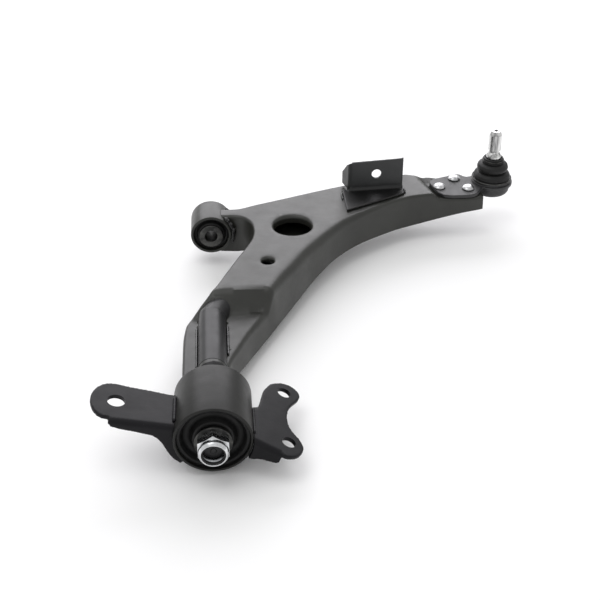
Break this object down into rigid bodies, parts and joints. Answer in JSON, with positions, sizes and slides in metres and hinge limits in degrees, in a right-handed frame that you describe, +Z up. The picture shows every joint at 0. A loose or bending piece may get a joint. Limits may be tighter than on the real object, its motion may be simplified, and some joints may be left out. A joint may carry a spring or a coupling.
{
  "type": "control_arm",
  "caption": "Pressed-steel lower control arm: lightened sheet shell with a clamped rear bush and bolt-on bracket, a welded front bush, a riveted ball joint with dust boot and a small link tab.",
  "frame": {"origin": "centre of the bounding box's foot: X and Y at the box's middle, Z at the lowest point", "axes": "+X outboard towards the ball joint, +Y along the pivot axis from the rear bush to the front bush, +Z up, the way the ball stud points"},
  "size_m": [0.4698, 0.4836, 0.1196],
  "materials": {
    "arm_paint_upper": "gloss",
    "arm_paint_lower": "gloss",
    "pin_paint": "gloss",
    "pin_weld_paint": "gloss",
    "front_sleeve_paint": "gloss",
    "sleeve_weld_paint": "gloss",
    "front_rubber_black": "matte",
    "front_inner_steel": "satin",
    "rear_shell_paint": "gloss",
    "rear_rubber_black": "matte",
    "rear_inner_steel": "satin",
    "washer_steel": "satin",
    "nut_zinc": "satin",
    "locking_ring_nylon": "matte",
    "bracket_paint": "gloss",
    "bracket_weld_paint": "gloss",
    "link_bracket_paint": "gloss",
    "link_weld_paint": "gloss",
    "housing_paint": "gloss",
    "cap_paint": "gloss",
    "seat_plastic": "satin",
    "stud_steel": "satin",
    "boot_rubber": "matte",
    "lower_ring_steel": "satin",
    "upper_ring_steel": "satin",
    "rivet_steel": "satin"
  },
  "bodies": {
    "arm": {"upper_shell": "arm_paint_upper", "lower_shell": "arm_paint_lower", "rear_pin": "pin_paint", "pin_weld_left": "pin_weld_paint", "pin_weld_right": "pin_weld_paint", "front_sleeve": "front_sleeve_paint", "front_sleeve_weld_near": "sleeve_weld_paint", "front_sleeve_weld_far": "sleeve_weld_paint", "front_rubber": "front_rubber_black", "rear_inner_sleeve": "rear_inner_steel", "rear_washer": "washer_steel", "rear_nut": "nut_zinc", "nut_locking_ring": "locking_ring_nylon", "link_bracket": "link_bracket_paint", "link_weld_left": "link_weld_paint", "link_weld_right": "link_weld_paint", "ball_joint_housing": "housing_paint", "housing_cap": "cap_paint", "ball_seat": "seat_plastic", "boot_lower_ring": "lower_ring_steel", "rivet_inner": "rivet_steel", "rivet_far": "rivet_steel", "rivet_near": "rivet_steel"},
    "rear_mounting": {"rear_bracket": "bracket_paint", "rear_outer_shell": "rear_shell_paint", "rear_rubber": "rear_rubber_black", "rear_bracket_weld_left": "bracket_weld_paint", "rear_bracket_weld_right": "bracket_weld_paint"},
    "front_inner": {"front_inner_sleeve": "front_inner_steel"},
    "boot_middle": {"dust_boot": "boot_rubber"},
    "boot_top": {"boot_upper_ring": "upper_ring_steel"},
    "stud": {"ball_stud": "stud_steel"}
  },
  "joints": [
    {"name": "rear_bush_twist", "type": "hinge", "parent": "arm", "child": "rear_mounting", "pos_m": [-0.12925, -0.1863, 0.03919], "axis": [0, 1, 0], "range_deg": [-20, 20], "stiffness_Nm_per_rad": 60},
    {"name": "front_bush_twist", "type": "hinge", "parent": "arm", "child": "front_inner", "pos_m": [-0.12925, 0.1562, 0.03919], "axis": [0, 1, 0], "range_deg": [-25, 25], "stiffness_Nm_per_rad": 20},
    {"name": "ball_tilt_x", "type": "hinge", "parent": "arm", "child": "boot_middle", "pos_m": [0.20995, 0.2169, 0.05219], "axis": [1, 0, 0], "range_deg": [-18, 18], "deforming": ["dust_boot"]},
    {"name": "ball_tilt_y", "type": "hinge", "parent": "boot_middle", "child": "boot_top", "pos_m": [0.20995, 0.2169, 0.05219], "axis": [0, 1, 0], "range_deg": [-18, 18], "deforming": ["dust_boot"]},
    {"name": "ball_spin", "type": "hinge", "parent": "boot_top", "child": "stud", "pos_m": [0.20995, 0.2169, 0.05219], "axis": [0, 0, 1], "continuous": true}
  ]
}
